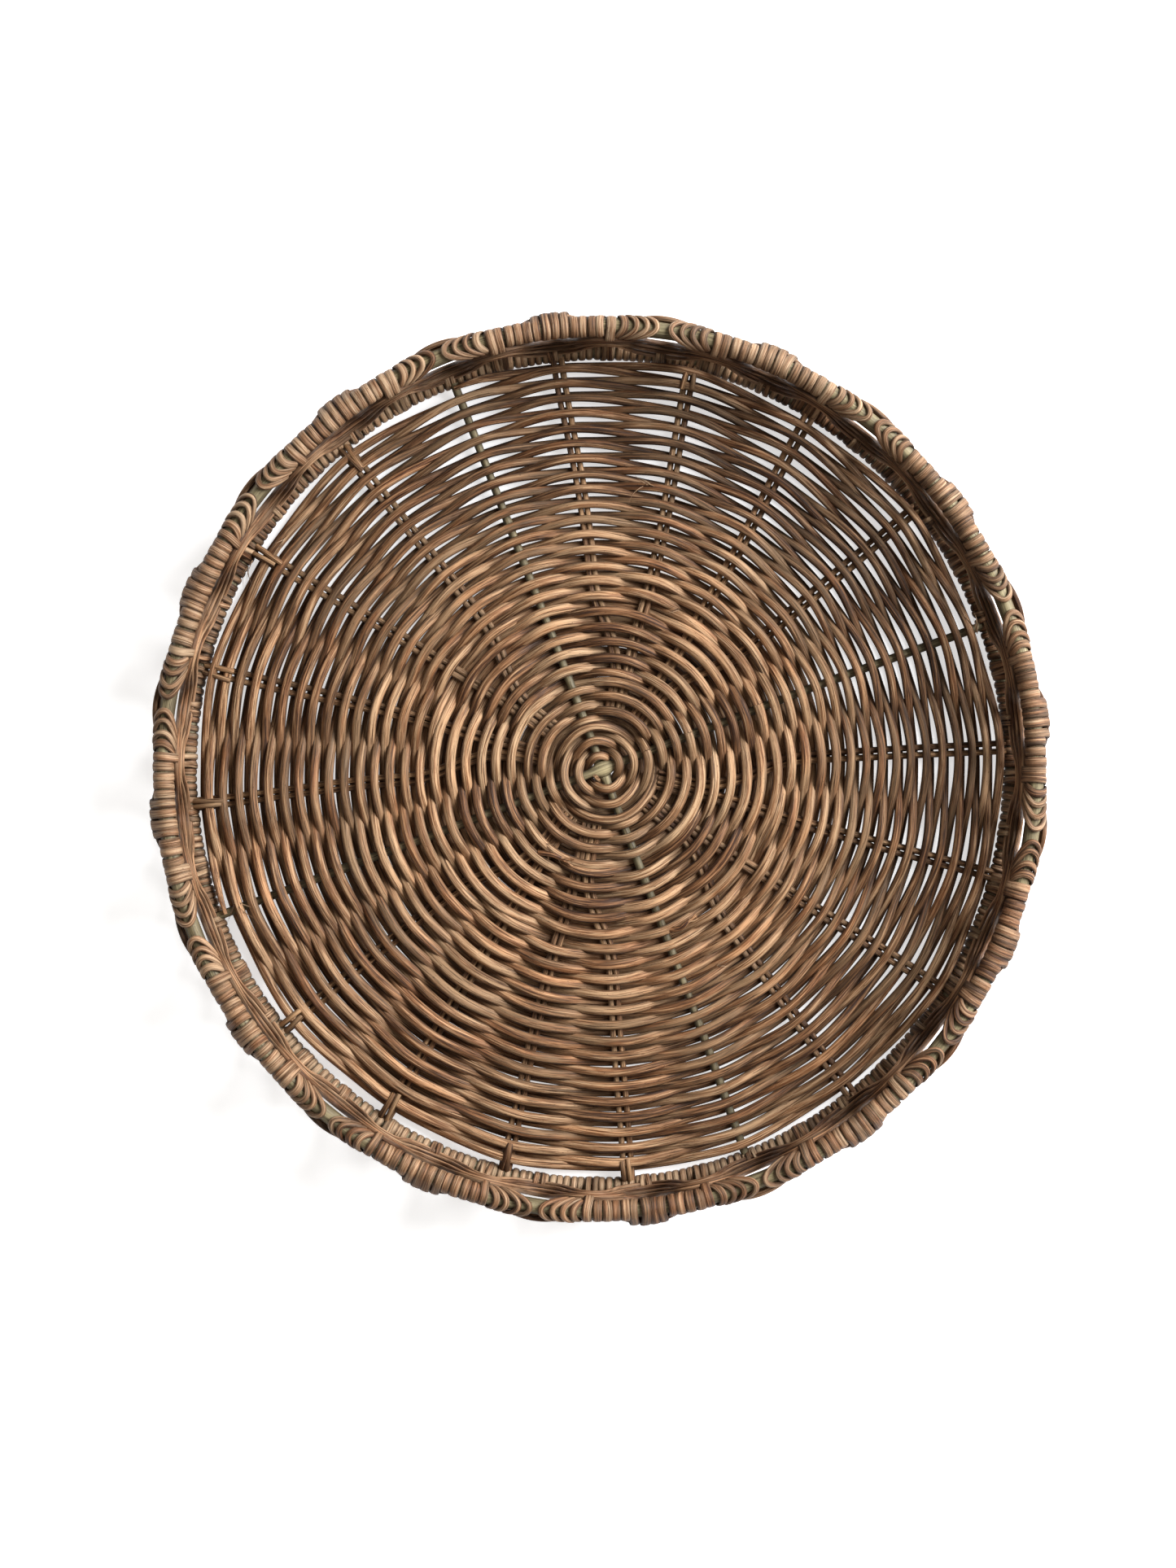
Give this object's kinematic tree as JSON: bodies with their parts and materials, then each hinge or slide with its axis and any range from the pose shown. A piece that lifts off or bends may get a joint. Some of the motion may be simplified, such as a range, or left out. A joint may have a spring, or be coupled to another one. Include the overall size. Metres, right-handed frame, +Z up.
{
  "type": "woven wicker tray basket",
  "caption": "Shallow round wicker tray basket: flat woven base on a spoked cross, low open wall of wavy cane bands between two hoops, the rim lashed with peel.",
  "frame": {"origin": "on the floor, at the middle of the basket, under the point where the two cross sticks meet", "axes": "+Z up out of the basket's open top; +X and +Y in the plane of the base"},
  "size_m": [0.4606, 0.4606, 0.0603],
  "materials": {
    "pole_cane": "thick natural rattan with its grey-green skin left on, smooth, faintly waxy, with darker nodes",
    "spoke_cane": "peeled round cane, matt, fine fibres along its length",
    "weaver_cane": "peeled round cane, tan to reddish brown, fine fibre streaks and dark specks, satin",
    "wave_cane": "thin flat-sided cane, tan brown, fibres along its length, matt",
    "peel": "split rattan peel, pale grey-tan, fibrous, wound edge to edge, satin"
  },
  "bodies": {
    "root": {"cross_stick_a": "pole_cane", "cross_stick_b": "pole_cane", "lower_hoop": "pole_cane", "lower_hoop_wrap": "peel", "top_hoop": "pole_cane", "spoke_pair_01": "spoke_cane", "spoke_pair_02": "spoke_cane", "spoke_pair_03": "spoke_cane", "spoke_pair_04": "spoke_cane", "spoke_pair_05": "spoke_cane", "spoke_pair_06": "spoke_cane", "spoke_pair_07": "spoke_cane", "spoke_pair_08": "spoke_cane", "spoke_pair_09": "spoke_cane", "spoke_pair_10": "spoke_cane", "spoke_pair_11": "spoke_cane", "spoke_pair_12": "spoke_cane", "spoke_pair_13": "spoke_cane", "spoke_pair_14": "spoke_cane", "spoke_pair_15": "spoke_cane", "spoke_pair_16": "spoke_cane", "hub_weaver_a": "weaver_cane", "hub_weaver_b": "weaver_cane", "inner_weaver_a": "weaver_cane", "inner_weaver_b": "weaver_cane", "middle_weaver_a": "weaver_cane", "middle_weaver_b": "weaver_cane", "outer_weaver_a": "weaver_cane", "outer_weaver_b": "weaver_cane", "inner_wave_cane_1": "wave_cane", "inner_wave_cane_2": "wave_cane", "inner_wave_cane_3": "wave_cane", "inner_wave_cane_4": "wave_cane", "outer_wave_cane_1": "wave_cane", "outer_wave_cane_2": "wave_cane", "outer_wave_cane_3": "wave_cane", "outer_wave_cane_4": "wave_cane", "inner_trough_ties": "peel", "outer_trough_ties": "peel", "top_lashing_01": "peel", "top_lashing_02": "peel", "top_lashing_03": "peel", "top_lashing_04": "peel", "top_lashing_05": "peel", "top_lashing_06": "peel", "top_lashing_07": "peel", "top_lashing_08": "peel", "top_lashing_09": "peel", "top_lashing_10": "peel", "top_lashing_11": "peel", "top_lashing_12": "peel"}
  },
  "joints": []
}
